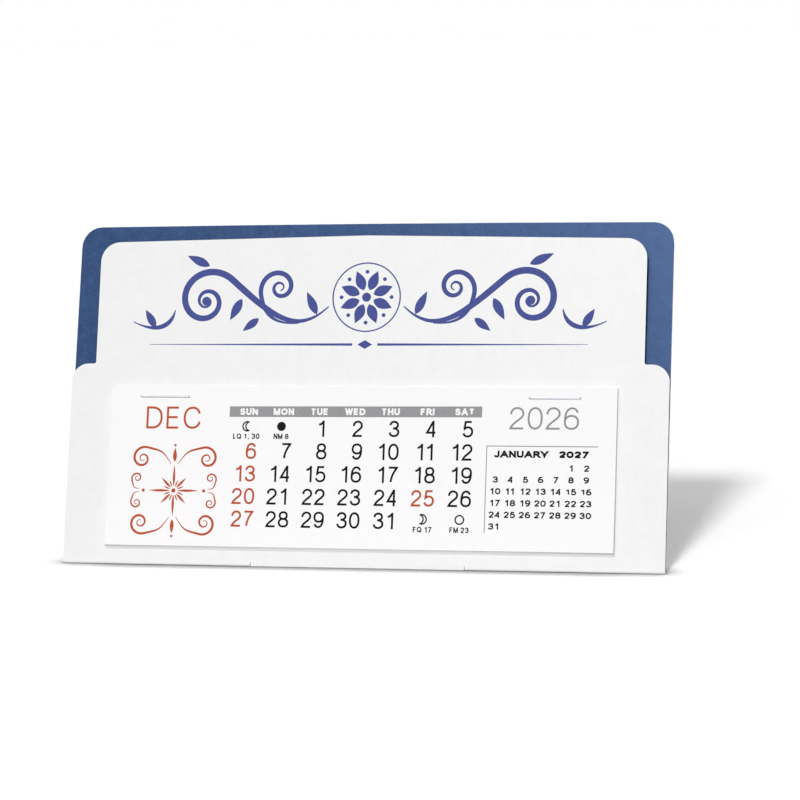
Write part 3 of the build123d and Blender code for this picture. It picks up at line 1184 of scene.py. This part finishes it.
def header_ornament():
    """A rosette between two pairs of scrolls, over a thin rule."""
    film = Film("header_ornament", INKS["blue"], on_front, FOLD_OUTER)
    heart = Vector(ROSETTE_AT)
    pitch = 360 / ROSETTE_PETALS
    for index in range(ROSETTE_PETALS):
        angle = pitch * index + pitch / 2
        film.patch(petal(heart + heading(angle) * PETAL_START, angle, *ROSETTE_PETAL))
        film.disc(heart + heading(angle + pitch / 2) * DOT_REACH, DOT_RADIUS)
    film.disc(heart, ROSETTE_CORE)
    film.ribbon(oval(heart, RING_RADIUS, RING_RADIUS, RING_STEP), RING_LINE, closed=True)
    both_sides(film, scroll(*MAIN_SCROLL), swell(*MAIN_PEN), 0)
    both_sides(film, scroll(*BRANCH_SCROLL), swell(*BRANCH_PEN), 0, OVER_SCROLL)
    both_sides(film, bezier(*TAIL_CURVE, SCROLL_STEP), swell(*TAIL_PEN), 0, OVER_SCROLL)
    for scroll_leaf in SCROLL_LEAVES:
        shape = petal(*scroll_leaf)
        film.patch(shape, OVER_ALL)
        film.patch(list(reversed(mirrored(shape, 0))), OVER_ALL)
    across, up = MAIN_SCROLL[2]
    film.disc((across, up), SCROLL_DISC, OVER_ALL)
    film.disc((-across, up), SCROLL_DISC, OVER_ALL)
    rule = straight((RULE_START, RULE_HEIGHT), (RULE_END, RULE_HEIGHT), RULE_STEP)
    both_sides(film, rule, lambda t: RULE_THICK - RULE_TAPER * t, 0)
    lozenge = ((LOZENGE_WIDE, 0), (0, LOZENGE_HIGH), (-LOZENGE_WIDE, 0), (0, -LOZENGE_HIGH))
    film.patch([Vector((x, RULE_HEIGHT + rise)) for x, rise in lozenge])
    return film.finish_mesh()


def season_ornament(film):
    """A star in a small cartouche of scrolls."""
    heart = Vector(STAR_AT)
    for index in range(STAR_RAYS):
        angle = 360 / STAR_RAYS * index
        length = RAY_LENGTHS[index % len(RAY_LENGTHS)]
        width = RAY_WIDTHS[index % len(RAY_WIDTHS)]
        film.patch(petal(heart + heading(angle) * RAY_START, angle, length, width))
    film.disc(heart, STAR_CORE)
    curls = (CORNER_SCROLL, CORNER_PEN), (TENDRIL_SCROLL, TENDRIL_PEN)
    for flip in (1, -1):
        for route, pen in curls:
            placed = [Vector((heart.x + p.x, heart.y + flip * p.y)) for p in scroll(*route)]
            both_sides(film, placed, swell(*pen), heart.x, OVER_STAR)
        film.patch(petal(heart + Vector((0, -flip * DROP_REACH)), -flip * 90, *DROP_PETAL))
        film.disc(heart + Vector((0, -flip * END_DOT_REACH)), END_DOT_RADIUS)
    for side in (-1, 1):
        film.disc(heart + Vector((side * SIDE_DOT_REACH, 0)), SIDE_DOT_RADIUS)


def note_lines(film):
    """Ruled lines for notes."""
    for row in range(NOTE_COUNT):
        rise = NOTE_PITCH * row
        film.box(NOTE_LEFT, NOTE_RIGHT, NOTE_BOTTOM + rise, NOTE_BOTTOM + NOTE_LINE + rise)


for month_page in (DECEMBER, JANUARY, FEBRUARY):
    page_films = page(*month_page)
    if month_page[0] == 1:
        season_ornament(page_films["red"])
    else:
        note_lines(page_films["grey"])
    for page_film in page_films.values():
        bend(page_film.finish_mesh(), month_page[0])

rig.ride(header_ornament(), "front_panel")


# Floor, light and camera


def light_path_mix(tree, seen, unseen):
    """Shader seen by the camera, and in gloss and glass, over the one that lights the object."""
    path = tree.nodes.new("ShaderNodeLightPath")
    either = path.outputs["Is Camera Ray"]
    for name in ("Is Glossy Ray", "Is Transmission Ray"):
        greater = tree.nodes.new("ShaderNodeMath")
        greater.operation = "MAXIMUM"
        tree.links.new(either, greater.inputs[0])
        tree.links.new(path.outputs[name], greater.inputs[1])
        either = greater.outputs[0]
    mixed = tree.nodes.new("ShaderNodeMixShader")
    tree.links.new(either, mixed.inputs[0])
    tree.links.new(unseen.outputs[0], mixed.inputs[1])
    tree.links.new(seen.outputs[0], mixed.inputs[2])
    return mixed.outputs[0]


def floor_material():
    """White paper sweep: where no shadow falls, it is as white as the background. Near the object its colour is
    darkened by ambient occlusion, a painted contact shadow.
    """
    mat = bpy.data.materials.new("floor_white")
    mat.use_nodes = True
    tree = mat.node_tree
    tree.nodes.clear()
    output = tree.nodes.new("ShaderNodeOutputMaterial")
    bounce = tree.nodes.new("ShaderNodeBsdfDiffuse")
    bounce.inputs["Color"].default_value = (FLOOR_BOUNCE, FLOOR_BOUNCE, FLOOR_BOUNCE, 1)
    # Ambient occlusion darkens the floor's colour near the object: a painted contact shadow.
    near = tree.nodes.new("ShaderNodeAmbientOcclusion")
    near.samples = CONTACT_SAMPLES
    near.inputs["Distance"].default_value = CONTACT_REACH
    level = near.outputs["AO"]
    for operation, amount in (("POWER", CONTACT_POWER), ("MULTIPLY", FLOOR_SHOWN)):
        step = tree.nodes.new("ShaderNodeMath")
        step.operation = operation
        tree.links.new(level, step.inputs[0])
        step.inputs[1].default_value = amount
        level = step.outputs[0]
    shown = tree.nodes.new("ShaderNodeBsdfDiffuse")
    tree.links.new(level, shown.inputs["Color"])
    tree.links.new(light_path_mix(tree, shown, bounce), output.inputs["Surface"])
    return mat


floor = new_object(
    "floor",
    [(x * FLOOR_HALF, y * FLOOR_HALF, -FLOOR_DROP) for x, y in ((-1, -1), (1, -1), (1, 1), (-1, 1))],
    [[0, 1, 2, 3]],
    [floor_material()],
)
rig.stage(floor)


def sun(name, strength, way, angle):
    """One far lamp."""
    lamp = bpy.data.lights.new(name, "SUN")
    lamp.energy = strength
    lamp.angle = math.radians(angle)
    obj = bpy.data.objects.new(name, lamp)
    obj.rotation_mode = "QUATERNION"
    obj.rotation_quaternion = Vector(way).to_track_quat("-Z", "Y")
    obj.location = Vector(way).normalized() * -LAMP_DISTANCE
    scene.collection.objects.link(obj)


for light in SUNS:
    sun(*light)

world = bpy.data.worlds.new("studio")
world.use_nodes = True
sky = world.node_tree
sky.nodes.clear()
sky_output = sky.nodes.new("ShaderNodeOutputWorld")
backgrounds = []
for brightness in (1.0, AMBIENT):
    background = sky.nodes.new("ShaderNodeBackground")
    background.inputs["Strength"].default_value = brightness
    background.inputs["Color"].default_value = (1, 1, 1, 1)
    backgrounds.append(background)
sky.links.new(light_path_mix(sky, *backgrounds), sky_output.inputs["Surface"])
scene.world = world

camera = bpy.data.cameras.new("camera")
camera.sensor_width = SENSOR_WIDTH
camera.lens = LENS
camera.clip_start = 0.01
camera.clip_end = 100.0
viewer = bpy.data.objects.new("camera", camera)
turned = Matrix((RIGHT, RIGHT.cross(FORWARD), -FORWARD)).transposed().to_4x4()
viewer.matrix_world = Matrix.Translation(EYE) @ turned
scene.collection.objects.link(viewer)
scene.camera = viewer
scene.view_settings.view_transform = "Standard"

visual_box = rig.bounds()
with open("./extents.json", "w") as sizes:
    json.dump({"cad": [list(c) for c in cad_box], "visual": [list(c) for c in visual_box]}, sizes)
